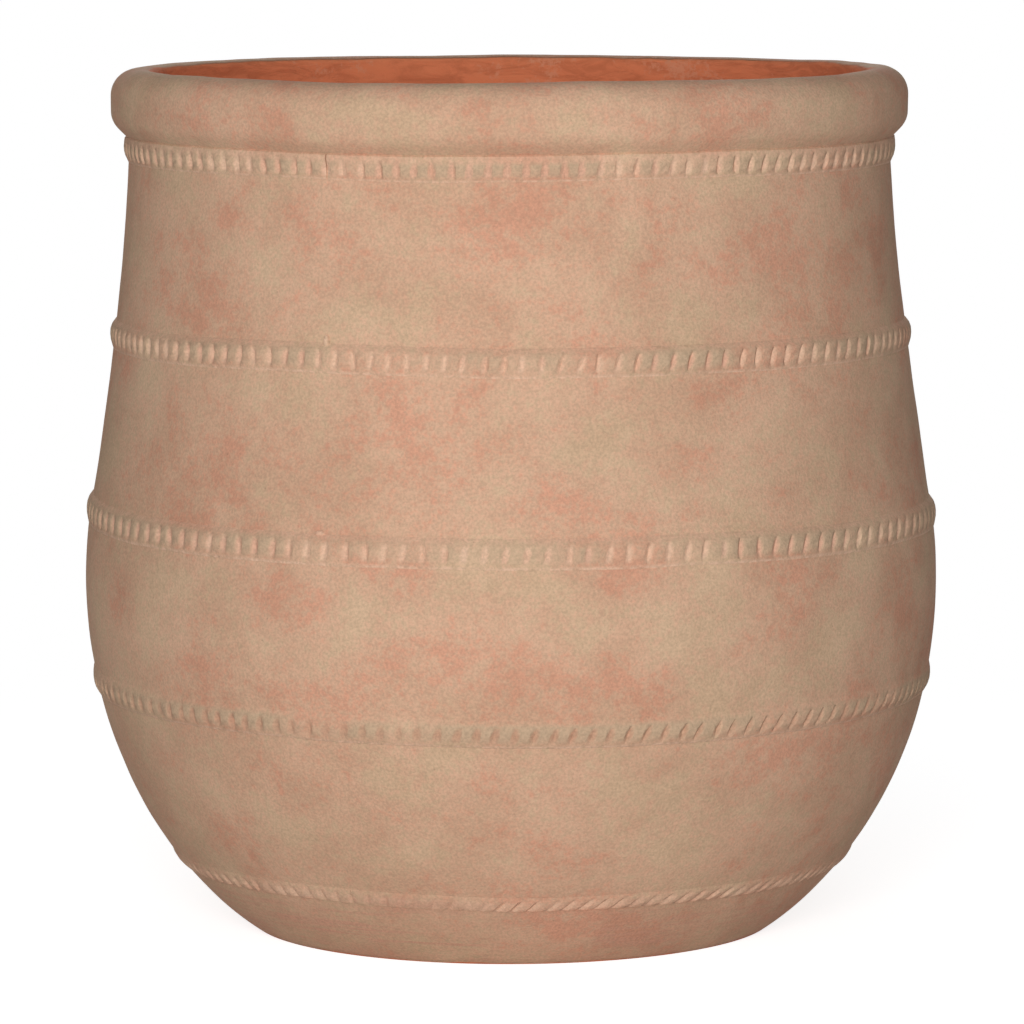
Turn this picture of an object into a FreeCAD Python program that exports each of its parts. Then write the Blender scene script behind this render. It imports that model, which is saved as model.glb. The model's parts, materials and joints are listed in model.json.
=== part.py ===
import FreeCAD, Part
import math
import os
import Sketcher
from FreeCAD import Vector

# A large ring-built terracotta flower pot. A floor slab, five wall courses and a rolled rim stand on
# each other, edge to edge, and a notched clay strip, a cordon, is bedded over each joint of the wall.
# The origin is on the ground at the pot's axis, +Z is up, and lengths are in millimetres.
SIZES = [
    ("wall", 20, "thickness of the wall, square to its face"),
    ("belly_radius", 346.7, "outside of the wall at the joint under the belly cordon"),
    ("drain_radius", 22, "drain hole through the floor slab"),
    # Each rise is the height from the joint below to the joint above.
    ("floor_rise", 30, "thickness of the floor slab"),
    ("foot_rise", 32, "foot course"),
    ("lower_belly_rise", 144, "lower belly course"),
    ("belly_rise", 141.5, "belly course"),
    ("shoulder_rise", 146.5, "shoulder course"),
    ("neck_rise", 146.5, "neck course"),
    # Each lean is the wall's angle from upright at a joint, in degrees, positive where it flares.
    ("ground_lean", 56, "edge of the slab where it meets the ground"),
    ("floor_lean", 44.5, "top of the slab"),
    ("foot_lean", 37.4, "foot cordon"),
    ("lower_belly_lean", 10.9, "lower belly cordon"),
    ("belly_lean", -8.9, "belly cordon"),
    ("shoulder_lean", -7, "shoulder cordon"),
    ("neck_lean", -3.6, "neck cordon"),
    ("rim_overhang", 16, "how far the rim stands out from the neck"),
    ("rim_bevel", 45, "slope of the rim's underside, in degrees"),
    ("rim_heel_round", 18.5, "rounding from the underside to the side"),
    ("rim_side", 12.4, "upright side of the rim"),
    ("rim_crown_round", 21.8, "rounding from the side to the crest"),
    ("rim_clearance", 0.4, "from the neck cordon up to the rim's underside"),
    ("foot_cordon_height", 14.5, "foot cordon"),
    ("lower_belly_cordon_height", 22, "lower belly cordon"),
    ("belly_cordon_height", 23, "belly cordon"),
    ("shoulder_cordon_height", 23, "shoulder cordon"),
    ("neck_cordon_height", 18, "neck cordon"),
    ("foot_notches", 126, "notches round the foot cordon"),
    ("lower_belly_notches", 144, "notches round the lower belly cordon"),
    ("belly_notches", 136, "notches round the belly cordon"),
    ("shoulder_notches", 137, "notches round the shoulder cordon"),
    ("neck_notches", 136, "notches round the neck cordon"),
    ("ridge_proud", 3.8, "ridges between the notches, out from the cordon's back"),
    ("ridge_width", 9, "flat crest of a ridge"),
    ("notch_proud", 1, "clay left under a notch"),
    ("slip", 0.3, "layer of slip that beds a cordon on the wall"),
    ("seam_gap", 0.8, "open butt joint where a cordon's two ends meet"),
    ("seam_azimuth", 242.8, "where the butt joints are, in degrees from +X"),
]

# The joints from the ground up. A course is named after the joint at its top.
JOINTS = ["ground", "floor", "foot", "lower_belly", "belly", "shoulder", "neck"]
COURSES = list(zip(JOINTS[1:], JOINTS[2:]))
CORDONS = JOINTS[2:]

doc = FreeCAD.newDocument("flower_pot")
sizes = doc.addObject("Spreadsheet::Sheet", "Sizes")
for row, (name, value, note) in enumerate(SIZES, start=1):
    sizes.set(f"A{row}", name)
    sizes.set(f"B{row}", str(value))
    sizes.set(f"C{row}", note)
    sizes.setAlias(f"B{row}", name)
doc.recompute()


def number(text):
    """The present value of an expression on the sizes."""
    return float(sizes.evalExpression(text))


def lean(joint):
    return f"Sizes.{joint}_lean"


def run_out(lower, upper):
    """How far a course's outside moves out from its lower joint to its upper one."""
    return f"Sizes.{upper}_rise * tan(({lean(lower)} + {lean(upper)}) / 2)"


def bend(lower, upper):
    """Radius of the arc that leans as both joints do, positive where the course bulges."""
    return f"Sizes.{upper}_rise / (sin({lean(lower)}) - sin({lean(upper)}))"


# The outside of the wall is a chain of arcs that share their lean at the joints.
height = {"ground": "0"}
for lower, upper in zip(JOINTS, JOINTS[1:]):
    height[upper] = f"{height[lower]} + Sizes.{upper}_rise"
radius = {"belly": "Sizes.belly_radius"}
middle = JOINTS.index("belly")
for lower, upper in zip(JOINTS[middle:], JOINTS[middle + 1:]):
    radius[upper] = f"{radius[lower]} + {run_out(lower, upper)}"
for lower, upper in zip(JOINTS[middle - 1::-1], JOINTS[middle:0:-1]):
    radius[lower] = f"{radius[upper]} - {run_out(lower, upper)}"


def outer_corner(joint):
    return radius[joint], height[joint]


def inner_corner(joint):
    """The joints of the wall are square to its face, and the slab's top is level."""
    if joint == "floor":
        return f"{radius[joint]} - Sizes.wall / cos({lean(joint)})", height[joint]
    inward = f"{radius[joint]} - Sizes.wall * cos({lean(joint)})"
    return inward, f"{height[joint]} + Sizes.wall * sin({lean(joint)})"


def new_body(label):
    body = doc.addObject("PartDesign::Body", label)
    body.Label = label
    return body


def origin_feature(body, role):
    return next(feature for feature in body.Origin.OriginFeatures if feature.Role == role)


def arc_middle(start, end, bend_radius):
    """Middle of the short arc to the right of the way from start to end, or left if negative."""
    chord = end - start
    rest = math.sqrt(bend_radius ** 2 - chord.Length ** 2 / 4)
    rise = bend_radius - math.copysign(rest, bend_radius)
    return (start + end) / 2 + Vector(chord.y, -chord.x, 0) / chord.Length * rise


def add_outline(body, name, plane, corners, arcs=()):
    """Draw a closed outline. Its corners, and the radii of its arcs, follow the sizes.

    An arc is given by the number of the corner that it starts from and its radius, which is
    positive where the arc bulges to the right of the way round.
    """
    sketch = body.newObject("Sketcher::SketchObject", f"{body.Label}_{name}")
    sketch.AttachmentSupport = [(origin_feature(body, plane), "")]
    sketch.MapMode = "FlatFace"
    radii = dict(arcs)
    points = [Vector(number(across), number(along), 0) for across, along in corners]
    ends = []
    for index, start in enumerate(points):
        end = points[(index + 1) % len(points)]
        if index in radii:
            bulge = arc_middle(start, end, number(radii[index]))
            edge = sketch.addGeometry(Part.Arc(start, bulge, end), False)
            turned = (sketch.getPoint(edge, 1) - start).Length > (sketch.getPoint(edge, 2) - start).Length
            ends.append((2, 1) if turned else (1, 2))
        else:
            sketch.addGeometry(Part.LineSegment(start, end), False)
            ends.append((1, 2))

    def bind(text, kind, *place):
        added = sketch.addConstraint(Sketcher.Constraint(kind, *place, number(text)))
        sketch.setExpression(f"Constraints[{added}]", text)

    for index, (across, along) in enumerate(corners):
        before = index - 1 if index else len(corners) - 1
        first = ends[index][0]
        sketch.addConstraint(Sketcher.Constraint("Coincident", before, ends[before][1], index, first))
        bind(across, "DistanceX", -1, 1, index, first)
        if along == "0":
            sketch.addConstraint(Sketcher.Constraint("PointOnObject", index, first, -1))
        else:
            bind(along, "DistanceY", -1, 1, index, first)
    for index, text in radii.items():
        bind(f"abs({text})", "Radius", index)
    return sketch


def add_ring(label, corners, arcs=()):
    """A ring of clay: its section, turned once round the pot's axis."""
    body = new_body(label)
    section = add_outline(body, "section", "XZ_Plane", corners, arcs)
    ring = body.newObject("PartDesign::Revolution", f"{label}_turned")
    ring.Profile = section
    ring.ReferenceAxis = (section, ["V_Axis"])
    ring.Angle = 360
    return body


def add_course(lower, upper):
    corners = [outer_corner(lower), outer_corner(upper), inner_corner(upper), inner_corner(lower)]
    arcs = [(0, bend(lower, upper)), (2, f"Sizes.wall - {bend(lower, upper)}")]
    return add_ring(f"{upper}_course", corners, arcs)


def add_floor():
    corners = [
        ("Sizes.drain_radius", height["ground"]),
        outer_corner("ground"),
        outer_corner("floor"),
        ("Sizes.drain_radius", height["floor"]),
    ]
    return add_ring("floor_slab", corners, [(1, bend("ground", "floor"))])


def add_rim():
    """The rolled rim: a short neck, a bevelled underside, an upright side and a round crest."""
    neck_rise = "(Sizes.neck_cordon_height / 2 + Sizes.rim_clearance)"
    neck_radius = f"{radius['neck']} + {neck_rise} * tan({lean('neck')})"
    neck_top = f"{height['neck']} + {neck_rise}"
    side_radius = f"{neck_radius} + Sizes.rim_overhang"
    heel = f"{neck_top} + Sizes.rim_overhang * tan(Sizes.rim_bevel)"
    heel_run = "Sizes.rim_heel_round * tan((90 - Sizes.rim_bevel) / 2)"
    side_top = f"{heel} + {heel_run} + Sizes.rim_side"
    crest = f"{side_top} + Sizes.rim_crown_round"
    mouth_radius = inner_corner("neck")[0]
    lip_round = f"{side_radius} - Sizes.rim_crown_round - ({mouth_radius})"
    corners = [
        outer_corner("neck"),
        (neck_radius, neck_top),
        (f"{side_radius} - {heel_run} * cos(Sizes.rim_bevel)", f"{heel} - {heel_run} * sin(Sizes.rim_bevel)"),
        (side_radius, f"{heel} + {heel_run}"),
        (side_radius, side_top),
        (f"{side_radius} - Sizes.rim_crown_round", crest),
        (mouth_radius, f"{crest} - ({lip_round})"),
        inner_corner("neck"),
    ]
    arcs = [(2, "Sizes.rim_heel_round"), (4, "Sizes.rim_crown_round"), (5, lip_round)]
    return add_ring("rim_roll", corners, arcs)


def add_cordon(joint):
    """A strip of clay over a joint. One ridge, half a notch at each side of it, is drawn and repeated."""
    label = f"{joint}_cordon"
    body = new_body(label)
    seam = f"Sizes.seam_gap / ({radius[joint]}) * 180 / pi"
    half_pitch = f"(360 - {seam}) / (2 * Sizes.{joint}_notches)"
    half_height = f"Sizes.{label}_height / 2"
    sections = []
    for end, sign in (("bottom", "-"), ("top", "+")):
        back = f"({radius[joint]} {sign} {half_height} * tan({lean(joint)}) + Sizes.slip / cos({lean(joint)}))"
        notch = f"({back} + Sizes.notch_proud)"
        crest = f"{back} + Sizes.ridge_proud"
        corners = [
            (back, f"-{back} * tan({half_pitch})"),
            (notch, f"-{notch} * tan({half_pitch})"),
            (crest, "-Sizes.ridge_width / 2"),
            (crest, "Sizes.ridge_width / 2"),
            (notch, f"{notch} * tan({half_pitch})"),
            (back, f"{back} * tan({half_pitch})"),
        ]
        section = add_outline(body, end, "XY_Plane", corners)
        section.setExpression("AttachmentOffset.Base.z", f"{height[joint]} {sign} {half_height}")
        sections.append(section)
    ridge = body.newObject("PartDesign::AdditiveLoft", f"{label}_ridge")
    ridge.Profile, ridge.Sections = sections[0], sections[1:]
    ridge.Ruled = True
    ridges = body.newObject("PartDesign::PolarPattern", f"{label}_ridges")
    ridges.Originals = [ridge]
    ridges.Axis = (origin_feature(body, "Z_Axis"), [""])
    ridges.setExpression("Occurrences", f"Sizes.{joint}_notches")
    ridges.setExpression("Angle", f"2 * {half_pitch} * (Sizes.{joint}_notches - 1)")
    body.Tip = ridges
    body.setExpression("Placement.Rotation.Angle", f"Sizes.seam_azimuth + {seam} / 2 + {half_pitch}")
    return body


pieces = [add_floor()]
pieces += [add_course(lower, upper) for lower, upper in COURSES]
pieces += [add_rim()]
pieces += [add_cordon(joint) for joint in CORDONS]
doc.recompute()

for item in doc.Objects:
    if "Invalid" in item.State or "Error" in item.State:
        raise RuntimeError(f"{item.Label} did not build: {item.State}")
for piece in pieces:
    if piece.Shape.isNull() or not piece.Shape.isValid() or len(piece.Shape.Solids) != 1:
        raise RuntimeError(f"{piece.Label} is not one sound solid")

os.makedirs("parts", exist_ok=True)
for piece in pieces:
    piece.Shape.exportStep(f"parts/{piece.Label}.step")
    box = piece.Shape.optimalBoundingBox()
    print(f"{piece.Label}: {box.XLength:.1f} x {box.YLength:.1f} mm, z {box.ZMin:.1f} to {box.ZMax:.1f} mm, "
          f"{piece.Shape.Volume / 1000:.1f} cm3")
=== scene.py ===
# %% [markdown]
# # A large terracotta flower pot
#
# The pot is built here as a potter builds it: a floor slab, five rings of clay and a rolled rim stand
# on each other, and a notched strip of clay, a cordon, covers each joint of the wall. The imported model
# is loaded first. It says where every piece is, and each new piece below stands for one of its nodes.

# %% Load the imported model
import json
import math

import bmesh
import bpy
import numpy as np
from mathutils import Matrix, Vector


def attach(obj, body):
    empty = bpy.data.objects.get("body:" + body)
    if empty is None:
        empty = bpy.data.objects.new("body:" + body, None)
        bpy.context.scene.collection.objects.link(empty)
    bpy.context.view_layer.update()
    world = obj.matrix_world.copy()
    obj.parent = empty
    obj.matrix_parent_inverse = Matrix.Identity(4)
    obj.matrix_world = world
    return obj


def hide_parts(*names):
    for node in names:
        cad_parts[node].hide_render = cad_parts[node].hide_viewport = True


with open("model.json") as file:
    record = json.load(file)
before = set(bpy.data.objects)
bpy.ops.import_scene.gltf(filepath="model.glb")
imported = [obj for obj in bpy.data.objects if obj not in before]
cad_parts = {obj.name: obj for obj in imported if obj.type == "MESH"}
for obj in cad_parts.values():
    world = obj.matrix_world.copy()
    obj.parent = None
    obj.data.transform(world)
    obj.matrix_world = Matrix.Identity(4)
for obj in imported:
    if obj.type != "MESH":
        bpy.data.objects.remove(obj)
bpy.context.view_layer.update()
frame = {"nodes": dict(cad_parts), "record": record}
scene = bpy.context.scene
print("nodes of the packed model:", sorted(frame["nodes"]))

# %% [markdown]
# ## The camera
#
# A long lens far away keeps the sides of a pot nearly parallel, and that is how such a pot is
# photographed. The camera stands a little above the rim and looks slightly down, so that the cordons
# bend into shallow curves and a thin crescent of the inside shows over the front of the rim.

# %% Camera
MM = 0.001
AIM = Vector((0.7 * MM, 0, 340.2 * MM))
VIEW_DISTANCE = 4.964
VIEW_HEIGHT = 0.890
VIEW_ROLL = math.radians(-0.18)
FILM_WIDTH, LENS = 36, 211.6
FAR_END = 60

bpy.ops.object.select_all(action="DESELECT")
bpy.ops.object.camera_add(location=(AIM.x, -VIEW_DISTANCE, VIEW_HEIGHT))
camera = bpy.context.object
camera.name = "camera"
camera.rotation_euler = (AIM - camera.location).to_track_quat("-Z", "Y").to_euler()
camera.rotation_euler.rotate_axis("Z", VIEW_ROLL)
camera.data.sensor_width = FILM_WIDTH
camera.data.lens = LENS
camera.data.clip_end = FAR_END
scene.camera = camera
scene.view_settings.view_transform = "Standard"
print("camera looks down", round(90 - math.degrees(camera.rotation_euler.x), 2), "degrees")

# %% [markdown]
# ## The lamps
#
# The light is soft and comes from the side of the camera, so the middle of the pot is bright and its
# sides turn brown as they turn away. One large lamp near the camera gives that fall. A second, weaker
# lamp behind keeps the back readable and, with its shadows off, leaves no mark on the floor in front.

# %% Lamps
FRONT_LAMP = {"location": (-0.3, -4.3, 1.17), "width": 1.8, "power": 127}
BACK_LAMP = {"location": (0.0, 4.3, 1.6), "width": 2.2, "power": 70}


def add_soft_lamp(name, location, width, power):
    bpy.ops.object.light_add(type="AREA", location=location)
    lamp = bpy.context.object
    lamp.name = name
    lamp.rotation_euler = (AIM - Vector(location)).to_track_quat("-Z", "Y").to_euler()
    lamp.data.shape = "DISK"
    lamp.data.size = width
    lamp.data.energy = power
    return lamp


add_soft_lamp("front_lamp", **FRONT_LAMP)
back_lamp = add_soft_lamp("back_lamp", **BACK_LAMP)
back_lamp.data.use_shadow = False

# %% [markdown]
# ## The white around the pot
#
# The world has two faces. To the rays that light the pot it is a weak, even fill. To the rays that show
# it to the camera, straight, in a reflection or through glass, it is plain white.

# %% World
FILL_COLOUR = (0.97, 0.98, 1.0, 1)
FILL_LEVEL = 0.19
WHITE = (1, 1, 1, 1)


def add_seen_rays(tree):
    """1 for the rays that show a thing to the camera: straight, mirrored or through glass."""
    ray = tree.nodes.new("ShaderNodeLightPath")
    seen = ray.outputs["Is Camera Ray"]
    for kind in ("Is Glossy Ray", "Is Transmission Ray"):
        either = tree.nodes.new("ShaderNodeMath")
        either.operation = "MAXIMUM"
        tree.links.new(seen, either.inputs[0])
        tree.links.new(ray.outputs[kind], either.inputs[1])
        seen = either.outputs[0]
    return seen


world = bpy.data.worlds.new("studio")
scene.world = world
world.use_nodes = True
sky = world.node_tree
sky.nodes.clear()
fill = sky.nodes.new("ShaderNodeBackground")
fill.inputs["Color"].default_value = FILL_COLOUR
fill.inputs["Strength"].default_value = FILL_LEVEL
white = sky.nodes.new("ShaderNodeBackground")
white.inputs["Color"].default_value = WHITE
white.inputs["Strength"].default_value = 1.0
choose = sky.nodes.new("ShaderNodeMixShader")
out = sky.nodes.new("ShaderNodeOutputWorld")
sky.links.new(add_seen_rays(sky), choose.inputs[0])
sky.links.new(fill.outputs[0], choose.inputs[1])
sky.links.new(white.outputs[0], choose.inputs[2])
sky.links.new(choose.outputs[0], out.inputs[0])
print("world:", world.name, "with a fill of", FILL_LEVEL)

# %% [markdown]
# ## The floor
#
# The floor is a matt pale sheet. Near the pot some glow lies on top of it, for the rays that show it to
# the camera. That lifts its lit part to white and leaves the pot's soft shadow a light grey. Further
# out the glow takes over, so the background is an even white to the edge of the picture.

# %% Floor near the pot
FLOOR_SIZE = 40
FLOOR_GREY = (0.7, 0.7, 0.7, 1)
FLOOR_LIFT = 0.72

bpy.ops.object.select_all(action="DESELECT")
bpy.ops.mesh.primitive_plane_add(size=FLOOR_SIZE, location=(0, 0, 0))
floor = bpy.context.object
floor.name = "studio_floor"
paper = bpy.data.materials.new("pale_floor")
paper.use_nodes = True
tree = paper.node_tree
tree.nodes.clear()
seen = add_seen_rays(tree)
sheet = tree.nodes.new("ShaderNodeBsdfDiffuse")
sheet.inputs["Color"].default_value = FLOOR_GREY
lift_level = tree.nodes.new("ShaderNodeMath")
lift_level.operation = "MULTIPLY"
lift_level.inputs[1].default_value = FLOOR_LIFT
lift = tree.nodes.new("ShaderNodeEmission")
lit = tree.nodes.new("ShaderNodeAddShader")
tree.links.new(seen, lift_level.inputs[0])
tree.links.new(lift_level.outputs[0], lift.inputs["Strength"])
tree.links.new(sheet.outputs[0], lit.inputs[0])
tree.links.new(lift.outputs[0], lit.inputs[1])
print("floor:", floor.name)

# %% Floor far from the pot
GLOW_STARTS, GLOW_FULL = 0.45, 1.5

place = tree.nodes.new("ShaderNodeTexCoord")
reach = tree.nodes.new("ShaderNodeVectorMath")
reach.operation = "LENGTH"
away = tree.nodes.new("ShaderNodeMapRange")
away.interpolation_type = "SMOOTHSTEP"
away.inputs["From Min"].default_value = GLOW_STARTS
away.inputs["From Max"].default_value = GLOW_FULL
far_glow = tree.nodes.new("ShaderNodeMath")
far_glow.operation = "MULTIPLY"
glow = tree.nodes.new("ShaderNodeEmission")
cover = tree.nodes.new("ShaderNodeMixShader")
out = tree.nodes.new("ShaderNodeOutputMaterial")
tree.links.new(place.outputs["Object"], reach.inputs[0])
tree.links.new(reach.outputs["Value"], away.inputs["Value"])
tree.links.new(away.outputs[0], far_glow.inputs[0])
tree.links.new(seen, far_glow.inputs[1])
tree.links.new(far_glow.outputs[0], cover.inputs[0])
tree.links.new(lit.outputs[0], cover.inputs[1])
tree.links.new(glow.outputs[0], cover.inputs[2])
tree.links.new(cover.outputs[0], out.inputs[0])
floor.data.materials.append(paper)
print("the floor is all glow from", GLOW_FULL, "m out")

# %% [markdown]
# ## How the wall is measured
#
# A ring-built wall is a chain of arcs. At every joint the two rings lean by the same angle, so the
# outside runs on without a corner. With the height of a ring and its two leans, the arc is known: it
# moves out by the height times the tangent of the mean lean, and its radius is the height over the
# difference of the two sines. The wall has one thickness, so the inside is the same arc, drawn closer
# to the arc's centre.

# %% Joints of the wall
WALL = 20 * MM
BELLY_RADIUS = 346.7 * MM
DRAIN_RADIUS = 22 * MM
JOINTS = ["ground", "floor", "foot", "lower_belly", "belly", "shoulder", "neck"]
RISE = {"floor": 30 * MM, "foot": 32 * MM, "lower_belly": 144 * MM, "belly": 141.5 * MM,
        "shoulder": 146.5 * MM, "neck": 146.5 * MM}
LEAN = {joint: math.radians(degrees) for joint, degrees in
        {"ground": 56, "floor": 44.5, "foot": 37.4, "lower_belly": 10.9, "belly": -8.9,
         "shoulder": -7, "neck": -3.6}.items()}


def run_out(lower, upper):
    return RISE[upper] * math.tan((LEAN[lower] + LEAN[upper]) / 2)


height = {"ground": 0.0}
for lower, upper in zip(JOINTS, JOINTS[1:]):
    height[upper] = height[lower] + RISE[upper]
radius = {"belly": BELLY_RADIUS}
middle = JOINTS.index("belly")
for lower, upper in zip(JOINTS[middle:], JOINTS[middle + 1:]):
    radius[upper] = radius[lower] + run_out(lower, upper)
for lower, upper in zip(JOINTS[middle - 1::-1], JOINTS[middle:0:-1]):
    radius[lower] = radius[upper] - run_out(lower, upper)
for joint in JOINTS:
    print(f"{joint}: radius {radius[joint] / MM:.1f} mm, height {height[joint] / MM:.1f} mm")

# %% [markdown]
# ## Drawing a section
#
# A pot is a solid of turning, so each ring starts as a section in the upright plane y = 0: a single
# vertex, which is pushed along lines by extruding and round arcs by the spin tool. The closed section
# is then spun once round the pot's axis. Spin turns the other way from the right-hand rule, so an arc
# that climbs on the outside of the pot uses the +Y axis.

# %% Pen for sections
ROW = 6 * MM
JOINT_ROWS = 3
STEPS_ROUND = 256
WELD = 0.01 * MM


def start_section(name, corner):
    """One vertex at a corner, given as radius and height."""
    bpy.ops.object.select_all(action="DESELECT")
    bpy.ops.mesh.primitive_plane_add(size=1 * MM, location=(0, 0, 0))
    piece = bpy.context.object
    piece.name = piece.data.name = name
    bpy.ops.object.mode_set(mode="EDIT")
    bpy.ops.mesh.select_mode(type="VERT")
    bpy.ops.mesh.select_all(action="SELECT")
    bpy.ops.mesh.merge(type="CENTER")
    bpy.ops.transform.translate(value=(corner[0], 0, corner[1]))
    return piece


def draw_line(start, end, rows=1):
    step = ((end[0] - start[0]) / rows, 0, (end[1] - start[1]) / rows)
    for _ in range(rows):
        bpy.ops.mesh.extrude_region_move(TRANSFORM_OT_translate={"value": step})


def draw_arc(centre, turn, rows):
    bpy.ops.mesh.spin(steps=rows, angle=turn, center=(centre[0], 0, centre[1]), axis=(0, 1, 0))


def turn_ring(piece):
    """Spin the section round the pot's axis, weld it and point its faces outwards."""
    bpy.ops.mesh.select_all(action="SELECT")
    bpy.ops.mesh.remove_doubles(threshold=WELD)
    bpy.ops.mesh.spin(steps=STEPS_ROUND, angle=2 * math.pi, center=(0, 0, 0), axis=(0, 0, 1))
    bpy.ops.mesh.select_all(action="SELECT")
    bpy.ops.mesh.remove_doubles(threshold=WELD)
    bpy.ops.mesh.normals_make_consistent(inside=False)
    bpy.ops.object.mode_set(mode="OBJECT")
    print(f"{piece.name}: {len(piece.data.vertices)} vertices, {len(piece.data.polygons)} faces")


# %% [markdown]
# ## The five wall rings
#
# Each ring is drawn up its outside, across its top joint, down its inside and back across its lower
# joint. The foot ring stands on the level top of the slab, so its inside runs on down to that level.

# %% Wall rings
SLAB_INNER_EDGE = (radius["floor"] - WALL / math.cos(LEAN["floor"]), height["floor"])


def outer_corner(joint):
    return radius[joint], height[joint]


def inner_corner(joint):
    """Joints are square to the wall."""
    return (radius[joint] - WALL * math.cos(LEAN[joint]),
            height[joint] + WALL * math.sin(LEAN[joint]))


def make_course(lower, upper):
    bend = RISE[upper] / (math.sin(LEAN[lower]) - math.sin(LEAN[upper]))
    centre = (radius[lower] - bend * math.cos(LEAN[lower]),
              height[lower] + bend * math.sin(LEAN[lower]))
    turn = LEAN[lower] - LEAN[upper]
    rows = round(RISE[upper] / ROW)
    piece = start_section(f"{upper}_ring", outer_corner(lower))
    draw_arc(centre, turn, rows)
    draw_line(outer_corner(upper), inner_corner(upper), JOINT_ROWS)
    draw_arc(centre, -turn, rows)
    inside = inner_corner(lower)
    if lower == "floor":
        draw_line(inside, SLAB_INNER_EDGE, JOINT_ROWS)
        inside = SLAB_INNER_EDGE
    draw_line(inside, outer_corner(lower), JOINT_ROWS)
    turn_ring(piece)
    return piece


pieces = {}
for lower, upper in zip(JOINTS[1:], JOINTS[2:]):
    pieces[f"{upper}_course"] = make_course(lower, upper)

# %% [markdown]
# ## The rolled rim
#
# The rim is a thick roll of clay with a sloping underside that ends in a crisp undercut over the neck.
# It could be a torus, but a torus has the wrong belly: the real roll has a sloped underside, a short
# upright side, a round crown and a nearly flat top, which turns sharply into the mouth. So it is drawn
# like the rings, with one spin for each rounding.

# %% Corners of the rim
RIM_OVERHANG = 14.5 * MM
RIM_BEVEL = math.radians(45)
HEEL_ROUND = 18.5 * MM
RIM_SIDE = 13.9 * MM
CROWN_ROUND = 21.8 * MM
NECK_RISE = 9.4 * MM
LIP_FALL = 0.8 * MM
LIP_ROUND = 5 * MM
RIGHT_ANGLE = math.pi / 2

neck_top = (radius["neck"] + NECK_RISE * math.tan(LEAN["neck"]), height["neck"] + NECK_RISE)
side_radius = neck_top[0] + RIM_OVERHANG
heel_height = neck_top[1] + RIM_OVERHANG * math.tan(RIM_BEVEL)
heel_run = HEEL_ROUND * math.tan((RIGHT_ANGLE - RIM_BEVEL) / 2)
heel_start = (side_radius - heel_run * math.cos(RIM_BEVEL),
              heel_height - heel_run * math.sin(RIM_BEVEL))
side_start = (side_radius, heel_height + heel_run)
side_end = (side_radius, side_start[1] + RIM_SIDE)
crest = (side_radius - CROWN_ROUND, side_end[1] + CROWN_ROUND)
mouth_radius = inner_corner("neck")[0]
lip_start = (mouth_radius + LIP_ROUND, crest[1] - LIP_FALL)
lip_end = (mouth_radius, lip_start[1] - LIP_ROUND)
print(f"crest of the rim: radius {crest[0] / MM:.1f} mm, height {crest[1] / MM:.1f} mm")

# %% Rim
rim = start_section("rim_roll_clay", outer_corner("neck"))
draw_line(outer_corner("neck"), neck_top, rows=3)
draw_line(neck_top, heel_start, rows=6)
draw_arc((side_radius - HEEL_ROUND, side_start[1]), RIGHT_ANGLE - RIM_BEVEL, rows=6)
draw_line(side_start, side_end, rows=3)
draw_arc((crest[0], side_end[1]), RIGHT_ANGLE, rows=14)
draw_line(crest, lip_start, rows=4)
draw_arc((lip_start[0], lip_end[1]), RIGHT_ANGLE, rows=7)
draw_line(lip_end, inner_corner("neck"), rows=10)
draw_line(inner_corner("neck"), outer_corner("neck"), JOINT_ROWS)
turn_ring(rim)
pieces["rim_roll"] = rim

# %% [markdown]
# ## The floor slab
#
# The slab is a disc with a flared edge, which carries the foot ring, and a drain hole in its middle.
# A potter cuts that hole through wet clay and wipes its edges round, so its two edges are bevelled.

# %% Floor slab
SLAB_ROWS = 16
slab_bend = RISE["floor"] / (math.sin(LEAN["ground"]) - math.sin(LEAN["floor"]))
slab_centre = (radius["ground"] - slab_bend * math.cos(LEAN["ground"]),
               slab_bend * math.sin(LEAN["ground"]))

slab = start_section("floor_slab_clay", (DRAIN_RADIUS, 0))
draw_line((DRAIN_RADIUS, 0), outer_corner("ground"), SLAB_ROWS)
draw_arc(slab_centre, LEAN["ground"] - LEAN["floor"], rows=7)
draw_line(outer_corner("floor"), SLAB_INNER_EDGE, JOINT_ROWS)
draw_line(SLAB_INNER_EDGE, (DRAIN_RADIUS, height["floor"]), SLAB_ROWS)
draw_line((DRAIN_RADIUS, height["floor"]), (DRAIN_RADIUS, 0))
turn_ring(slab)
pieces["floor_slab"] = slab

# %% Drain hole
DRAIN_WIPE = 3 * MM
WIPE_STEPS = 3


def select_where(piece, test):
    """In edit mode, select just the vertices whose place passes the test."""
    bpy.ops.mesh.select_all(action="DESELECT")
    shape = bmesh.from_edit_mesh(piece.data)
    for vertex in shape.verts:
        vertex.select = not vertex.hide and bool(test(vertex.co))
    shape.select_flush(True)
    bmesh.update_edit_mesh(piece.data)
    return sum(vertex.select for vertex in shape.verts)


def in_drain(co):
    return math.hypot(co.x, co.y) < DRAIN_RADIUS + WELD


bpy.ops.object.mode_set(mode="EDIT")
edge_count = select_where(slab, lambda co: in_drain(co) and co.z < WELD)
bpy.ops.mesh.bevel(offset=DRAIN_WIPE, segments=WIPE_STEPS, affect="EDGES")
select_where(slab, lambda co: in_drain(co) and co.z > height["floor"] - WELD)
bpy.ops.mesh.bevel(offset=DRAIN_WIPE, segments=WIPE_STEPS, affect="EDGES")
bpy.ops.object.mode_set(mode="OBJECT")
print("drain hole: edges of", edge_count, "vertices wiped round")

# %% [markdown]
# ## The cordons
#
# A cordon is a half-round strip of clay, luted over a joint. The edge of a stick was then pressed into
# it, stroke by stroke, so that beads of clay stand between narrow notches. The strips differ: those at
# the belly and the shoulder are round, the lower belly's is low, the neck's runs on up under the rim,
# and the foot's was pushed down into a thin rope. Their sections are drawn from a few points each.

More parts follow.
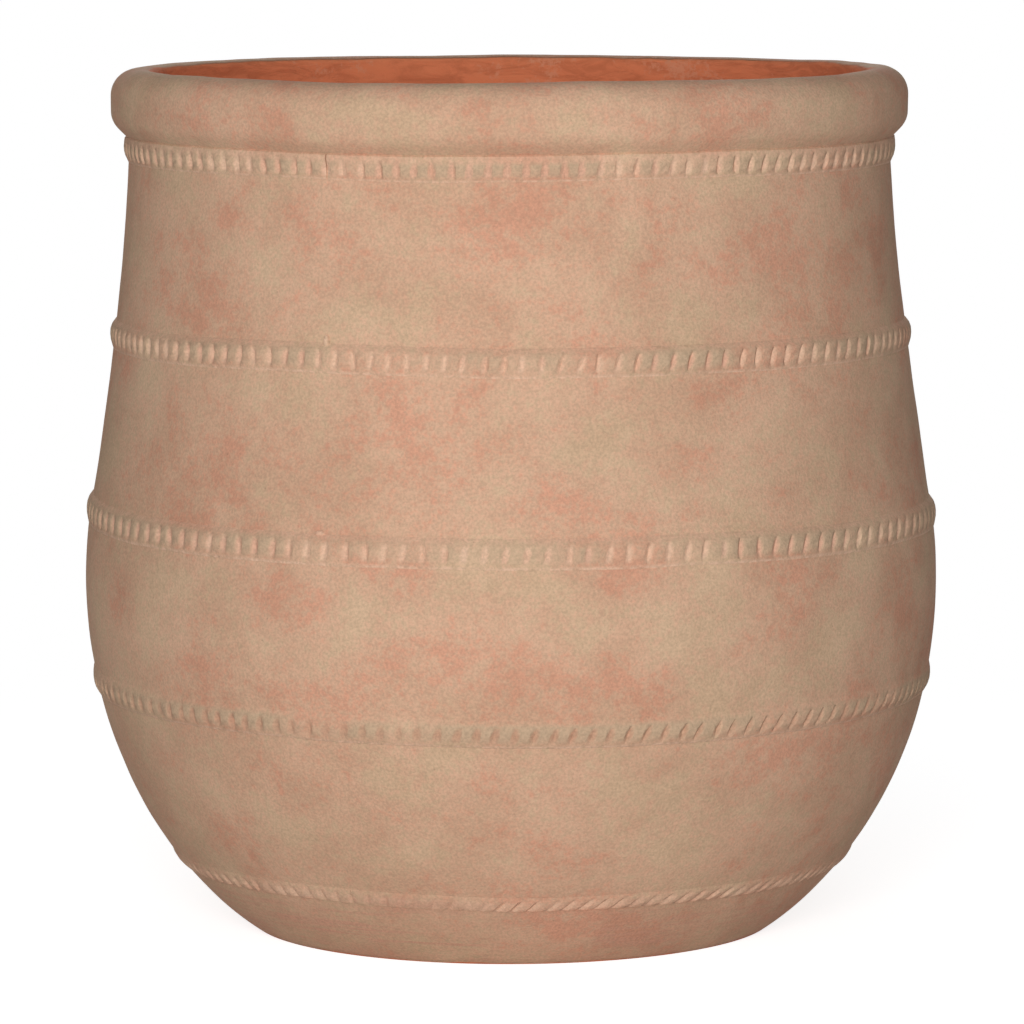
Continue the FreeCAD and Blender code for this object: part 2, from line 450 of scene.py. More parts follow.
# %% Sections of the strips
# From the lower edge up: share of the strip's half height, and how proud of the wall in millimetres.
ROUND_STRIP = [(-1.0, -0.3), (-0.93, 0.5), (-0.72, 1.6), (-0.42, 3.1), (-0.08, 4.1), (0.26, 4.2),
               (0.55, 3.4), (0.82, 1.5), (1.0, -0.3)]
BELLY_FLATTER = 0.88
BELLY_STRIP = [(along, BELLY_FLATTER * proud) for along, proud in ROUND_STRIP]
LOW_STRIP = [(-1.0, -0.3), (-0.92, 0.5), (-0.7, 1.5), (-0.42, 2.7), (-0.12, 3.1), (0.2, 2.8),
             (0.52, 2.0), (0.8, 0.9), (1.0, -0.3)]
NECK_STRIP = [(-1.0, -0.3), (-0.92, 0.4), (-0.7, 1.4), (-0.4, 3.1), (-0.05, 4.2), (0.4, 4.5),
              (0.85, 4.4), (1.2, 4.1), (1.36, 2.6), (1.0, -0.3)]
ROPE_STRIP = [(-1.2, -0.4), (-1.08, 1.0), (-0.85, 1.8), (-0.5, 2.2), (-0.15, 1.9), (0.15, 1.2),
              (0.4, 0.5), (0.65, -0.3)]


def strip_point(joint, half_height, along, proud):
    """A point of a cordon's section, from its place along the wall's slope and out from it."""
    lean = LEAN[joint]
    slope = along * half_height / math.cos(lean)
    return (radius[joint] + slope * math.sin(lean) + proud * math.cos(lean),
            height[joint] + slope * math.cos(lean) - proud * math.sin(lean))


def level_on_strip(joint, half_height, co):
    """The share of the strip's half height at which a vertex lies, measured along the wall's slope."""
    across, up = math.hypot(co.x, co.y) - radius[joint], co.z - height[joint]
    lean = LEAN[joint]
    return (across * math.sin(lean) + up * math.cos(lean)) * math.cos(lean) / half_height


print("points in a strip's section:", [len(s) for s in (ROUND_STRIP, LOW_STRIP, NECK_STRIP, ROPE_STRIP)])

# %% [markdown]
# ## One bead of a cordon
#
# A boolean for every notch would leave hard edges, so one bead is modelled with half a notch at each
# side: the strip's section is spun through one pitch in uneven steps, closer together near the notches,
# and the notches are pushed in with proportional editing, which leaves them soft. Two pushes make a
# notch, a long one for the stroke and a wider one at its middle, so it has the outline of a lens. The
# strip's two edges lie a little under the wall's face, so no crack shows, and they are hidden during
# the pushes, so they stay there.

# %% Bead
BEAD_COLUMNS = [0, 0.12, 0.2, 0.28, 0.72, 0.8, 0.88, 1]
EDGE_BAND = 0.03
STROKE_BAND = 0.02


def draw_strip(name, joint, half_height, pitch, section):
    outline = [strip_point(joint, half_height, along, proud * MM) for along, proud in section]
    piece = start_section(name, outline[0])
    for start, end in zip(outline, outline[1:] + outline[:1]):
        draw_line(start, end)
    bpy.ops.mesh.select_all(action="SELECT")
    bpy.ops.mesh.remove_doubles(threshold=WELD)
    for before, after in zip(BEAD_COLUMNS, BEAD_COLUMNS[1:]):
        bpy.ops.mesh.spin(steps=1, angle=(after - before) * pitch, center=(0, 0, 0), axis=(0, 0, -1))
    return piece


def press_notch(piece, joint, half_height, azimuth, pitch, hand):
    lean = LEAN[joint]
    inwards = -Vector((math.cos(azimuth) * math.cos(lean), math.sin(azimuth) * math.cos(lean),
                       -math.sin(lean)))
    for low, high, reach, depth in hand["pushes"]:
        select_where(piece, lambda co: abs(math.atan2(co.y, co.x) - azimuth) < STROKE_BAND * pitch
                     and low < level_on_strip(joint, half_height, co) < high)
        bpy.ops.transform.translate(value=inwards * depth * MM, use_proportional_edit=True,
                                    use_proportional_connected=True, proportional_size=reach * MM,
                                    proportional_edit_falloff=hand["falloff"])


def make_bead(name, joint, half_height, pitch, hand):
    piece = draw_strip(name, joint, half_height, pitch, hand["section"])
    edges = hand["section"][0][0], hand["section"][-1][0]
    select_where(piece, lambda co: min(abs(level_on_strip(joint, half_height, co) - edge)
                                       for edge in edges) < EDGE_BAND)
    bpy.ops.mesh.hide(unselected=False)
    for azimuth in (0, pitch):
        press_notch(piece, joint, half_height, azimuth, pitch, hand)
    bpy.ops.mesh.reveal(select=False)
    return piece


print("a bead has", len(BEAD_COLUMNS) - 1, "columns of faces")

# %% [markdown]
# ## The maker's hand
#
# No two notches have quite the same place, lean or depth, and the strokes lean more on one side of the
# pot than on the other. That is a small move of each vertex, from a seeded draw for each notch, and it
# fades to nothing in the middle of the beads, so the strip stays in one piece. To move a vertex, its
# place is first read as the maker sees it: which notch it belongs to, how far along the strip it lies,
# and how far it stands out from the wall.

# %% Reading a strip
FRONT_AZIMUTH = math.radians(270)


def read_strip(piece, joint, half_height, pitch, start, hand):
    """Azimuth, notch and share of the pitch from it, and the vertex's place on the wall's slope."""
    place = np.empty(len(piece.data.vertices) * 3)
    piece.data.vertices.foreach_get("co", place)
    place = place.reshape(-1, 3)
    turned = np.arctan2(place[:, 1], place[:, 0]) - start + pitch / 4
    azimuth = np.mod(turned, 2 * math.pi) - pitch / 4
    notch = np.clip(np.round(azimuth / pitch), 0, hand["beads"]).astype(int)
    share = np.clip(azimuth / pitch - notch, -0.5, 0.5)
    lean = LEAN[joint]
    across, up = np.hypot(place[:, 0], place[:, 1]) - radius[joint], place[:, 2] - height[joint]
    along = across * math.sin(lean) + up * math.cos(lean)
    proud = across * math.cos(lean) - up * math.sin(lean)
    level = along * math.cos(lean) / half_height
    return azimuth, notch, share, along, proud, level


def notch_depth(level, proud, section):
    """How far a vertex was pushed in from the strip's whole section."""
    rows = np.array(section)
    whole = np.interp(level, rows[:-1, 0], rows[:-1, 1] * MM)
    on_edge = np.minimum(np.abs(level - rows[0, 0]), np.abs(level - rows[-1, 0])) < EDGE_BAND
    return np.where(on_edge, 0, np.maximum(whole - proud, 0))


print("the photographed side is at azimuth", round(math.degrees(FRONT_AZIMUTH)), "degrees")

# %% [markdown]
# ## Marks for the finish
#
# The wash on a strip isn't even. It lies thick on the beads, where the brush met them, and thin in the
# notches, and a strip's sharp lower edge is rubbed pale. The lower belly's notches are also darkened
# with painted shade, for the shadow in them. Four values on the vertices keep that for the finish: how
# bare a notch is, how much painted shade it gets, how well the brush reached, and how near a lip is.

# %% Marks
# Level on the strip, and the mark's strength there.
BRUSH_REACH = [-0.6, -0.35, 0.5, 0.7], [0, 1, 1, 0]
TWO_LIPS = [-1, -0.93, -0.8, 0.6, 0.8, 1], [0.4, 1, 0, 0, 0.35, 0.35]
LOWER_LIP = [-1, -0.93, -0.8], [0.4, 1, 0]
ROPE_LIP = [-1, -0.7, -0.2, 0.3], [0, 0.6, 0.5, 0]
MARKS = "pressed", "notch_shade", "brushed", "lip"


def mark_strip(piece, level, depth, hand):
    sunk = np.clip(2 * depth / sum(push[-1] * MM for push in hand["pushes"]), 0, 1)
    # The second mark is painted shade: it darkens a notch by its depth, standing in for the shadow in it.
    pressed, notch_shade = hand["bared"] * sunk, hand["notch_shading"] * sunk
    brushed = hand["coated"] * np.interp(level, *BRUSH_REACH) * (1 - sunk)
    lip = np.interp(level, *hand["lip"])
    if hand["lip"] is ROPE_LIP:
        lip = lip * (1 - pressed)
    for name, value in zip(MARKS, (pressed, notch_shade, brushed, lip)):
        piece.data.attributes.new(name, "FLOAT", "POINT").data.foreach_set("value", value)


print("marks on a strip:", MARKS)

# %% [markdown]
# ## Leaning and shifting the strokes
#
# Each vertex now slides along the strip, by the lean of the strokes on its side of the pot and by its
# own notch's draw, and the strip is laid a little above or below the joint, as a hand lays it.

# %% Hand-pressed strokes
HAND_SHIFT = 0.8 * MM
HAND_LEAN = 0.09
HAND_PRESS = 0.18
LEFT_FRONT_RIGHT = [-1, 0, 1]


def vary_by_hand(piece, joint, half_height, pitch, start, hand):
    draw = np.random.default_rng(hand["beads"])
    azimuth, notch, share, along, proud, level = read_strip(piece, joint, half_height, pitch, start, hand)
    depth = notch_depth(level, proud, hand["section"])
    mark_strip(piece, level, depth, hand)

    side = np.sin(azimuth + start - FRONT_AZIMUTH)
    narrow = 1 + hand["narrow_right"] * (0.5 + 0.5 * side)
    from_notch = np.sign(share) * 0.5 * np.abs(2 * share) ** narrow
    hold = np.cos(math.pi * share) ** 2
    shift, turn, press = draw.normal(0, 1, (3, hand["beads"] + 1))
    shift[[0, -1]] = turn[[0, -1]] = 0
    stroke = np.tan(np.radians(np.interp(side, LEFT_FRONT_RIGHT, hand["leans"])))
    slide = along * stroke + hand["bow_left"] * np.maximum(-side, 0) * level ** 2
    slide = slide + hold * (HAND_SHIFT * shift[notch] + HAND_LEAN * turn[notch] * along)
    proud = proud - depth * hold * HAND_PRESS * press[notch]
    along = along + np.interp(side, LEFT_FRONT_RIGHT, hand["laid"]) * MM

    lean = LEAN[joint]
    around = radius[joint] + along * math.sin(lean) + proud * math.cos(lean)
    azimuth = start + (notch + from_notch) * pitch + slide / around
    upright = height[joint] + along * math.cos(lean) - proud * math.sin(lean)
    place = np.column_stack((around * np.cos(azimuth), around * np.sin(azimuth), upright))
    piece.data.vertices.foreach_set("co", place.ravel())
    piece.data.update()


print("a notch strays by about", HAND_SHIFT / MM, "mm")

# %% [markdown]
# ## From one bead to a strip
#
# The spin tool can also copy, and it sets the bead all round the pot, one pitch apart. A narrow gap is
# left where the strip's two ends meet. The table says how each strip was made.

# %% How each strip was made
# The strip: its section, height, number of beads, and the gap between its ends.
# A push: from level, to level, its reach and its depth in millimetres; then the falloff of the pushes.
# At the left, the front and the right of the pot: how the strokes lean in degrees, and how many
# millimetres the strip was laid above the joint. Then how much narrower the notches are at the right,
# and how they bow at the left. Last, the wash: how bare the notches are, how much painted shade darkens
# them, how well the beads are coated, and where the lips are.
CORDONS = {
    "foot": {
        "section": ROPE_STRIP, "height": 14.5 * MM, "beads": 126, "gap": 0.3 * MM,
        "pushes": [(-0.9, 0, 4.4, 2)], "falloff": "SMOOTH",
        "leans": [-24, 36, 44], "laid": [1.8, -2, 1.6], "narrow_right": 0.0, "bow_left": 0.0,
        "bared": 0.8, "notch_shading": 0.0, "coated": 0.0, "lip": ROPE_LIP},
    "lower_belly": {
        "section": LOW_STRIP, "height": 23 * MM, "beads": 144, "gap": 0.3 * MM,
        "pushes": [(-0.6, 0.45, 3.4, 1.5), (-0.3, 0.2, 4.2, 1.3)], "falloff": "INVERSE_SQUARE",
        "leans": [-2, 14, 30], "laid": [0, -0.4, -0.6], "narrow_right": 0.4, "bow_left": 2 * MM,
        # The lower belly's notches get painted shade, standing in for the shadow in them.
        "bared": 0.15, "notch_shading": 0.6, "coated": 1.0, "lip": LOWER_LIP},
    "belly": {
        "section": BELLY_STRIP, "height": 25 * MM, "beads": 136, "gap": 0.3 * MM,
        "pushes": [(-0.5, 0.4, 3.9, 1.7), (-0.2, 0.1, 5.0, 1.2)], "falloff": "INVERSE_SQUARE",
        "leans": [3, 9, 14], "laid": [0, -2.3, -3], "narrow_right": 0.4, "bow_left": 1 * MM,
        "bared": 1.0, "notch_shading": 0.0, "coated": 1.0, "lip": TWO_LIPS},
    "shoulder": {
        "section": ROUND_STRIP, "height": 24 * MM, "beads": 137, "gap": 0.3 * MM,
        "pushes": [(-0.5, 0.4, 3.7, 1.8), (-0.2, 0.1, 4.8, 1.3)], "falloff": "INVERSE_SQUARE",
        "leans": [2, 8, 14], "laid": [-0.6, -1.6, -2], "narrow_right": 0.45, "bow_left": 0.0,
        "bared": 1.0, "notch_shading": 0.0, "coated": 1.0, "lip": TWO_LIPS},
    "neck": {
        "section": NECK_STRIP, "height": 18 * MM, "beads": 136, "gap": 1.4 * MM,
        "pushes": [(-0.5, 0.5, 3.5, 1.8), (-0.2, 0.1, 4.6, 1.4)], "falloff": "INVERSE_SQUARE",
        "leans": [0, 4, 9], "laid": [0, 0, 0], "narrow_right": 0.35, "bow_left": 0.0,
        "bared": 1.0, "notch_shading": 0.0, "coated": 1.0, "lip": TWO_LIPS},
}
print("notches:", {joint: hand["beads"] for joint, hand in CORDONS.items()})

# %% Cordons
SEAM_AZIMUTH = math.radians(242.8)
BEAD_WELD = 0.1 * MM


def make_cordon(joint, hand):
    gap = hand["gap"] / radius[joint]
    pitch = (2 * math.pi - gap) / hand["beads"]
    piece = make_bead(f"{joint}_strip", joint, hand["height"] / 2, pitch, hand)
    copies = hand["beads"] - 1
    bpy.ops.mesh.select_all(action="SELECT")
    bpy.ops.mesh.spin(steps=copies, dupli=True, angle=pitch * copies, center=(0, 0, 0), axis=(0, 0, -1))
    bpy.ops.mesh.select_all(action="SELECT")
    bpy.ops.mesh.remove_doubles(threshold=BEAD_WELD)
    bpy.ops.mesh.fill_holes(sides=0)
    bpy.ops.mesh.select_all(action="SELECT")
    start = SEAM_AZIMUTH + gap / 2
    bpy.ops.transform.rotate(value=-start, orient_axis="Z", center_override=(0, 0, 0))
    bpy.ops.mesh.normals_make_consistent(inside=False)
    bpy.ops.object.mode_set(mode="OBJECT")
    vary_by_hand(piece, joint, hand["height"] / 2, pitch, start, hand)
    print(f"{piece.name}: {hand['beads']} beads, {len(piece.data.polygons)} faces")
    return piece


for joint, hand in CORDONS.items():
    pieces[f"{joint}_cordon"] = make_cordon(joint, hand)

# %% [markdown]
# ## Clay squeezed out of a joint
#
# Where the shoulder's strip meets its own end, the maker's thumb squeezed a little clay up over the
# strip's edge. A small ball, flattened against the wall and added in edit mode, becomes part of the
# strip. The belly's strip has a smaller one.

# %% Squeezed clay
SQUEEZED_LIP = 0.6


def squeeze_clay(joint, level, width, tall, proud):
    piece = pieces[f"{joint}_cordon"]
    bpy.ops.object.select_all(action="DESELECT")
    piece.select_set(True)
    bpy.context.view_layer.objects.active = piece
    around, upright = strip_point(joint, CORDONS[joint]["height"] / 2, level, 0)
    azimuth = SEAM_AZIMUTH + width / around
    spot = (around * math.cos(azimuth), around * math.sin(azimuth), upright)
    bpy.ops.object.mode_set(mode="EDIT")
    bpy.ops.mesh.select_all(action="DESELECT")
    bpy.ops.mesh.primitive_uv_sphere_add(segments=16, ring_count=10, radius=1, rotation=(0, 0, azimuth),
                                         location=spot, scale=(proud, width / 2, tall / 2))
    bpy.ops.object.mode_set(mode="OBJECT")
    lip = piece.data.attributes["lip"].data
    for vertex in piece.data.vertices:
        if vertex.select:
            lip[vertex.index].value = SQUEEZED_LIP
    print(f"{piece.name}: squeezed clay {tall / MM:.0f} mm tall")


squeeze_clay("shoulder", level=0.95, width=5 * MM, tall=11 * MM, proud=3.2 * MM)
squeeze_clay("belly", level=0.9, width=9 * MM, tall=5 * MM, proud=2 * MM)

# %% [markdown]
# ## Where the wash ends
#
# The outside was brushed with a thin pale wash, and the inside is bare orange clay. The line between
# them is where the rim's top turns into the mouth, and another is at the foot's lowest edge. Each
# vertex keeps how far it is past that line, and the finish turns this into a ragged edge.

# %% Wash line
WASH_OVER_LIP = 0.7 * MM
WASH_END = lip_start[1] - WASH_OVER_LIP
RIM_TOP_EDGE = crest[0] + 4 * MM
FOOT_WEAR = 1 * MM
SLAB_TOP = height["floor"] - 0.5 * MM
DRAIN_REACH = 2 * DRAIN_RADIUS
LINE_SOFTNESS = 40 * MM


def inside_of_ring(around, upright, facing):
    return np.where(facing < 0, WALL, -WALL)


def inside_of_rim(around, upright, facing):
    return np.where(around < RIM_TOP_EDGE, WASH_END - upright, -WALL)


def all_but_edge(around, upright, facing):
    in_pot = (upright > SLAB_TOP) & (around < radius["floor"] - WALL / 2)
    return np.where(in_pot | (around < DRAIN_REACH), WALL, FOOT_WEAR - upright)


def mark_bare(piece, rule):
    count = len(piece.data.vertices)
    place, normal = np.empty(count * 3), np.empty(count * 3)
    piece.data.vertices.foreach_get("co", place)
    piece.data.vertex_normals.foreach_get("vector", normal)
    place, normal = place.reshape(-1, 3), normal.reshape(-1, 3)
    around = np.hypot(place[:, 0], place[:, 1])
    facing = (place[:, 0] * normal[:, 0] + place[:, 1] * normal[:, 1]) / around
    past = rule(around, place[:, 2], facing)
    bare = piece.data.attributes.new("bare", "FLOAT", "POINT")
    bare.data.foreach_set("value", np.clip(0.5 + past / LINE_SOFTNESS, 0, 1))
    return float((past > 0).mean())


rules = {"rim_roll": inside_of_rim, "floor_slab": all_but_edge}
for node, piece in pieces.items():
    if not node.endswith("_cordon"):
        print(node, "bare share:", round(mark_bare(piece, rules.get(node, inside_of_ring)), 2))

# %% [markdown]
# ## Worked by hand
#
# No hand-built pot is truly round. Two soft noise fields push every piece a millimetre or two aside.
# They are read in the frame's own coordinates and push along its axes, so neighbours move together and
# no joint opens. A vertex group fades the push out towards the ground, where the pot stands flat.

# %% Uneven walls
SOFT_GROUND = 80 * MM
STRIP_CREASE, WALL_CREASE = math.radians(30), math.radians(40)


def soft_field(name, size, depth):
    field = bpy.data.textures.new(name, "CLOUDS")
    field.noise_scale = size
    field.noise_depth = depth
    field.cloud_type = "COLOR"
    return field


FIELDS = [(soft_field("slow_swell", 0.22, 0), 4 * MM), (soft_field("finger_swell", 0.055, 1), 1.2 * MM)]


def work_by_hand(piece, crease):
    piece.vertex_groups.new(name="free_of_ground")
    place = np.empty(len(piece.data.vertices) * 3)
    piece.data.vertices.foreach_get("co", place)
    for index, upright in enumerate(place[2::3]):
        piece.vertex_groups[0].add([index], min(max(upright / SOFT_GROUND, 0), 1), "REPLACE")
    bpy.ops.object.select_all(action="DESELECT")
    piece.select_set(True)
    bpy.context.view_layer.objects.active = piece
    for field, strength in FIELDS:
        bpy.ops.object.modifier_add(type="DISPLACE")
        push = piece.modifiers[-1]
        push.texture = field
        push.texture_coords = "LOCAL"
        push.direction = "RGB_TO_XYZ"
        push.mid_level = 0.5
        push.strength = strength
        push.vertex_group = "free_of_ground"
        bpy.ops.object.modifier_apply(modifier=push.name)
    piece.vertex_groups.remove(piece.vertex_groups["free_of_ground"])
    bpy.ops.object.shade_smooth_by_angle(angle=crease)


for node, piece in pieces.items():
    work_by_hand(piece, STRIP_CREASE if node.endswith("_cordon") else WALL_CREASE)
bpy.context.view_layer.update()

# %% [markdown]
# ## Finishes
#
# A washed terracotta is never one colour. Where the wash is thick it is sand, where it is thin the clay
# shows pink through it, and over all lies a fine grain. A painted picture could show that, but noise on
# the object's own coordinates needs no unwrapping and runs on from piece to piece. These helpers add
# one node each and hand back its output.

# %% Node helpers
def add_noise(tree, place, scale, detail, roughness=0.5, distortion=0.0):
    noise = tree.nodes.new("ShaderNodeTexNoise")
    noise.inputs["Scale"].default_value = scale
    noise.inputs["Detail"].default_value = detail
    noise.inputs["Roughness"].default_value = roughness
    noise.inputs["Distortion"].default_value = distortion
    tree.links.new(place, noise.inputs["Vector"])
    return noise.outputs["Fac"]


def add_mapping(tree, place, **settings):
    node = tree.nodes.new("ShaderNodeMapping")
    for name, value in settings.items():
        node.inputs[name].default_value = value
    tree.links.new(place, node.inputs["Vector"])
    return node.outputs[0]


def add_attribute(tree, name):
    node = tree.nodes.new("ShaderNodeAttribute")
    node.attribute_name = name
    return node.outputs["Fac"]


def add_math(tree, operation, first, second):
    node = tree.nodes.new("ShaderNodeMath")
    node.operation = operation
    for socket, value in zip(node.inputs, (first, second)):
        if isinstance(value, (int, float)):
            socket.default_value = value
        else:
            tree.links.new(value, socket)
    return node.outputs[0]


def add_range(tree, value, low, high, to_low=0.0, to_high=1.0):
    node = tree.nodes.new("ShaderNodeMapRange")
    node.interpolation_type = "SMOOTHSTEP"
    for name, number in (("From Min", low), ("From Max", high), ("To Min", to_low), ("To Max", to_high)):
        node.inputs[name].default_value = number
    tree.links.new(value, node.inputs["Value"])
    return node.outputs[0]


# %% Helpers for colour and bump
def add_mix(tree, factor, first, second, blend="MIX"):
    node = tree.nodes.new("ShaderNodeMix")
    node.data_type = "RGBA"
    node.blend_type = blend
    for socket, value in ((node.inputs[0], factor), (node.inputs[6], first), (node.inputs[7], second)):
        if isinstance(value, float):
            socket.default_value = value
        elif isinstance(value, tuple):
            socket.default_value = (*value, 1)
        else:
            tree.links.new(value, socket)
    return node.outputs[2]


def add_bump(tree, level, depth, below=None):
    node = tree.nodes.new("ShaderNodeBump")
    node.inputs["Strength"].default_value = 1.0
    node.inputs["Distance"].default_value = depth
    tree.links.new(level, node.inputs["Height"])
    if below is not None:
        tree.links.new(below, node.inputs["Normal"])
    return node.outputs["Normal"]


# %% [markdown]
# ## The wash
#
# Four noises make the wash. Hand-sized patches say where it is thick or thin, stains of about that size
# make it cleaner or darker, and crumbs of a few millimetres and the clay's grain break up the edges of
# the patches.

# %% Wash
SAND = (0.617, 0.424, 0.278)
BEIGE = (0.620, 0.388, 0.261)
PINK = (0.610, 0.317, 0.210)
CLEAN = (1.045, 1.045, 1.045)
STAINED = (0.935, 0.918, 0.900)
THIN_WASH, THICK_WASH = (0.735, 0.885), (0.735, 0.605)
# How many of each lie on a metre.
PATCHES, STAINS, CRUMBS, GRAINS = 11.0, 10.0, 190.0, 480.0
CRUMB_SHARE, GRAIN_SHARE = 0.41, 0.06


def wash_noises(tree, place):
    noises = {"worn": add_noise(tree, place, CRUMBS, 3, 0.65), "grain": add_noise(tree, place, GRAINS, 2, 0.6)}
    elsewhere = add_mapping(tree, place, Location=(3.1, 1.7, 5.3))
    noises["stain"] = add_noise(tree, elsewhere, STAINS, 6, 0.62, 0.4)
    fleck = add_math(tree, "ADD", add_math(tree, "MULTIPLY", noises["grain"], GRAIN_SHARE),
                     add_math(tree, "MULTIPLY", noises["worn"], CRUMB_SHARE))
    wiped_round = add_mapping(tree, place, Scale=(1, 1, 1.25))
    noises["wash"] = add_math(tree, "ADD", add_noise(tree, wiped_round, PATCHES, 8, 0.7, 0.15), fleck)
    return noises


def washed_colour(tree, noises):
    colour = add_mix(tree, add_range(tree, noises["wash"], *THIN_WASH), BEIGE, PINK)
    colour = add_mix(tree, add_range(tree, noises["wash"], *THICK_WASH), colour, SAND)
    tint = add_mix(tree, add_range(tree, noises["stain"], 0.36, 0.64), CLEAN, STAINED)
    return add_mix(tree, 1.0, colour, tint, "MULTIPLY")


print("sand, beige and pink of the wash:", SAND, BEIGE, PINK)

# %% [markdown]
# ## The wash on a strip
#
# The marks on the strips come in here: the notches show paler clay, the beads are coated thickly where
# the stain noise is high, the lower belly's notches are darkened with painted shade, and the lips are
# rubbed pale.

# %% Wash on a strip
COATED = (0.530, 0.378, 0.250)
DAMP = (0.675, 0.402, 0.282)
LIP = (0.730, 0.490, 0.345)
# Painted shade: a darker colour laid in the lower belly's notches for the shadow there.
PAINTED_NOTCH_SHADE = (0.500, 0.292, 0.192)
NOTCH_SHOWS = 0.8


def strip_colour(tree, noises, colour):
    marks = {name: add_attribute(tree, name) for name in MARKS}
    in_notch = add_mix(tree, add_range(tree, noises["stain"], 0.44, 0.58), LIP, DAMP)
    colour = add_mix(tree, add_math(tree, "MULTIPLY", marks["pressed"], NOTCH_SHOWS), colour, in_notch)
    coat = add_math(tree, "MULTIPLY", marks["brushed"],
                    add_range(tree, noises["stain"], 0.40, 0.56, 0.15, 0.9))
    colour = add_mix(tree, coat, colour, COATED)
    # Painted shade darkens the notches of the lower belly, by their depth.
    colour = add_mix(tree, marks["notch_shade"], colour, PAINTED_NOTCH_SHADE)
    rubbed = add_math(tree, "MULTIPLY", marks["lip"], add_range(tree, noises["worn"], 0.35, 0.6, 0.2, 1.0))
    return add_mix(tree, rubbed, colour, LIP)


print("coat on the beads:", COATED)

# %% [markdown]
# ## Streaks, grain and specks
#
# Near the ground the pot was wiped round with a wet sponge, which leaves level streaks: noise that is
# stretched along the ground. The grain makes the clay lighter and darker, and a few dark specks of grit
# lie where two noises agree.

# %% Streaks, grain and specks
STREAK = (0.600, 0.325, 0.225)
SPECK = (0.270, 0.150, 0.090)
SPECK_SHOWS = 0.35
SPECKS, GRIT_SPOTS = 170.0, 60.0
WIPED_FROM, WIPED_FULL = 0.085, 0.02


def foot_wiping(tree, place):
    wiped = add_noise(tree, add_mapping(tree, place, Scale=(8, 8, 300)), 1.0, 3, 0.6)
    upright = tree.nodes.new("ShaderNodeSeparateXYZ")
    tree.links.new(place, upright.inputs[0])
    return wiped, add_range(tree, upright.outputs["Z"], WIPED_FROM, WIPED_FULL)


def streaked_colour(tree, noises, wiped, near_foot, colour):
    where = add_math(tree, "MULTIPLY", near_foot, add_range(tree, noises["stain"], 0.42, 0.58))
    streak = add_math(tree, "MULTIPLY", add_range(tree, wiped, 0.48, 0.62, 0.0, 0.9), where)
    return add_mix(tree, streak, colour, STREAK)


def grained_colour(tree, place, noises, colour):
    shade = add_math(tree, "ADD", add_range(tree, noises["grain"], 0.25, 0.75, 0.86, 1.09),
                     add_range(tree, noises["worn"], 0.3, 0.7, -0.035, 0.035))
    colour = add_mix(tree, 1.0, colour, shade, "MULTIPLY")
    specks = tree.nodes.new("ShaderNodeTexVoronoi")
    specks.inputs["Scale"].default_value = SPECKS
    tree.links.new(place, specks.inputs["Vector"])
    sparse = add_math(tree, "MULTIPLY", add_range(tree, specks.outputs["Distance"], 0.16, 0.08),
                      add_range(tree, add_noise(tree, place, GRIT_SPOTS, 2), 0.58, 0.66))
    return add_mix(tree, add_math(tree, "MULTIPLY", sparse, SPECK_SHOWS), colour, SPECK)


print("streaks reach up to", round(WIPED_FROM / MM), "mm")

# %% [markdown]
# ## Raw clay
#
# Inside, the clay is bare: orange, darker where it was scraped deep and paler where a film of lime has
# dried on it. The scraping is noise, stretched along slanting strokes, and it goes into the bump too.
# The wash line's value, made ragged by the stain noise, decides where the raw clay begins.

# %% Raw clay
RAW = (0.740, 0.242, 0.112)
RAW_DARK = (0.590, 0.184, 0.084)
RAW_PALE = (0.700, 0.290, 0.160)
SCRAPE_DEPTH = 2.2 * MM


def raw_clay(tree, place, noises, colour, normal):
    drag = add_mapping(tree, place, Scale=(26, 26, 90), Rotation=(0.3, 0.35, 0))
    scraped = add_noise(tree, drag, 1.0, 5, 0.65, 0.8)
    raw = add_mix(tree, add_range(tree, scraped, 0.35, 0.6), RAW_DARK, RAW)
    raw = add_mix(tree, add_range(tree, noises["wash"], 0.79, 0.91), raw, RAW_PALE)
    ragged = add_math(tree, "ADD", add_attribute(tree, "bare"),
                      add_range(tree, noises["stain"], 0.35, 0.65, -0.02, 0.02))
    uncovered = add_range(tree, ragged, 0.48, 0.52)
    colour = add_mix(tree, uncovered, colour, raw)
    return colour, add_bump(tree, add_math(tree, "MULTIPLY", scraped, uncovered), SCRAPE_DEPTH, normal)


print("raw clay:", RAW)

# %% [markdown]
# ## Putting the finish together
#
# The strips and the walls share one recipe. Only the strips have marks, and only the walls, the rim and
# the slab have raw clay. Fired clay is matt, so the surface is rough and hardly shines.

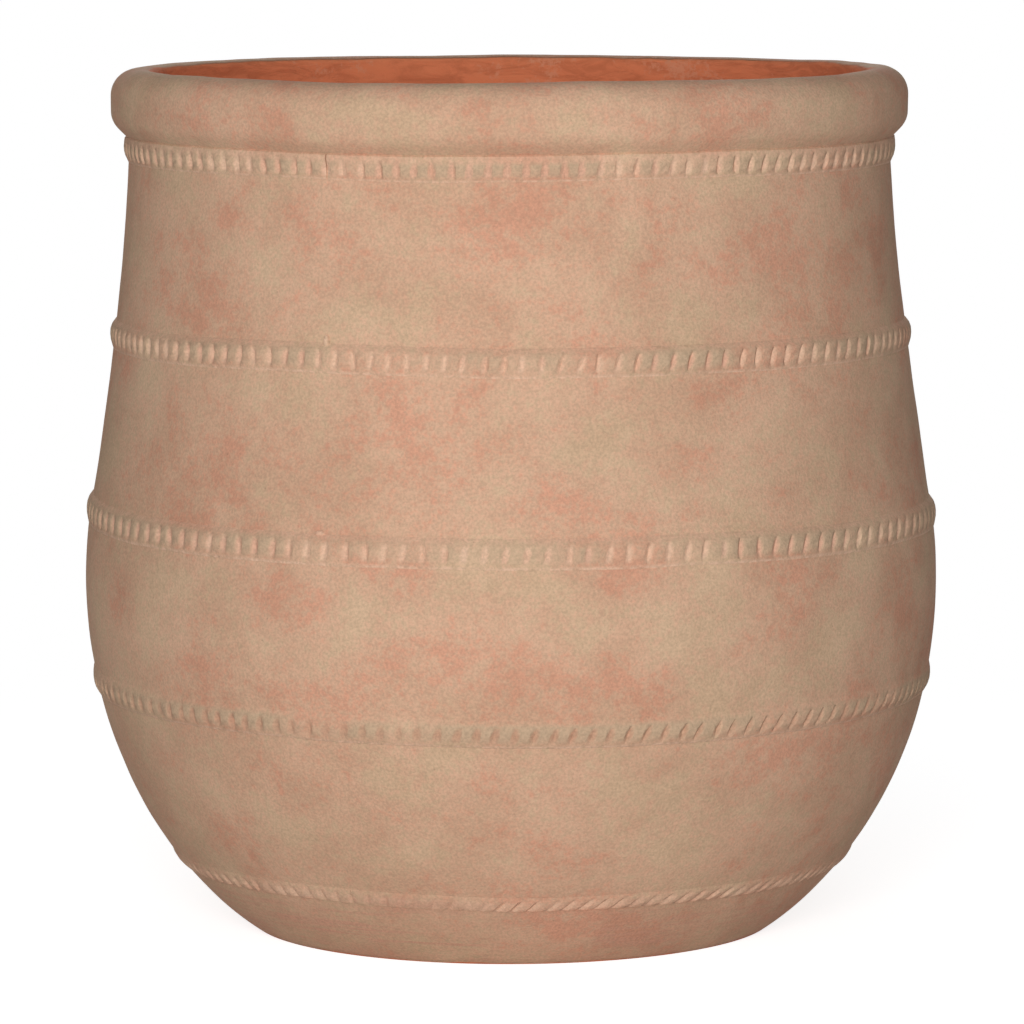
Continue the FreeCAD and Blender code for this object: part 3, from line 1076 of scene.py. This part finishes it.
# %% Clay
SAND_GRAINS = 1300.0
SAND_DEPTH, GRAIN_DEPTH, WIPE_DEPTH = 0.12 * MM, 0.4 * MM, 0.25 * MM
CLAY_ROUGHNESS, CLAY_SHINE = 0.92, 0.2


def clay_finish(name, notched):
    finish = bpy.data.materials.new(name)
    finish.use_nodes = True
    tree = finish.node_tree
    tree.nodes.clear()
    place = tree.nodes.new("ShaderNodeTexCoord").outputs["Object"]
    noises = wash_noises(tree, place)
    wiped, near_foot = foot_wiping(tree, place)

    colour = washed_colour(tree, noises)
    if notched:
        colour = strip_colour(tree, noises, colour)
    colour = streaked_colour(tree, noises, wiped, near_foot, colour)
    colour = grained_colour(tree, place, noises, colour)
    normal = add_bump(tree, add_noise(tree, place, SAND_GRAINS, 1), SAND_DEPTH)
    normal = add_bump(tree, noises["grain"], GRAIN_DEPTH, normal)
    normal = add_bump(tree, add_math(tree, "MULTIPLY", wiped, near_foot), WIPE_DEPTH, normal)
    if not notched:
        colour, normal = raw_clay(tree, place, noises, colour, normal)

    clay = tree.nodes.new("ShaderNodeBsdfPrincipled")
    clay.inputs["Roughness"].default_value = CLAY_ROUGHNESS
    clay.inputs["Specular IOR Level"].default_value = CLAY_SHINE
    tree.links.new(colour, clay.inputs["Base Color"])
    tree.links.new(normal, clay.inputs["Normal"])
    out = tree.nodes.new("ShaderNodeOutputMaterial")
    tree.links.new(clay.outputs[0], out.inputs["Surface"])
    return finish


finishes = {
    "washed_terracotta": clay_finish("washed_terracotta", False),
    "raw_terracotta": clay_finish("raw_terracotta", False),
    "cordon_terracotta": clay_finish("cordon_terracotta", True),
}
print("finishes:", sorted(finishes))

# %% [markdown]
# ## Handing the pieces over
#
# Every piece now gets the finish of its slot, rides on the pot's one rigid body and stands for its
# node. The dressed pot has to stay the size of the model.

# %% Hand over
slot_of = {row["node"]: row["material_slot"] for row in frame["record"]["subparts"]}
for node, piece in pieces.items():
    piece.data.materials.clear()
    piece.data.materials.append(finishes[slot_of[node]])
    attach(piece, "root")
    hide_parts(node)
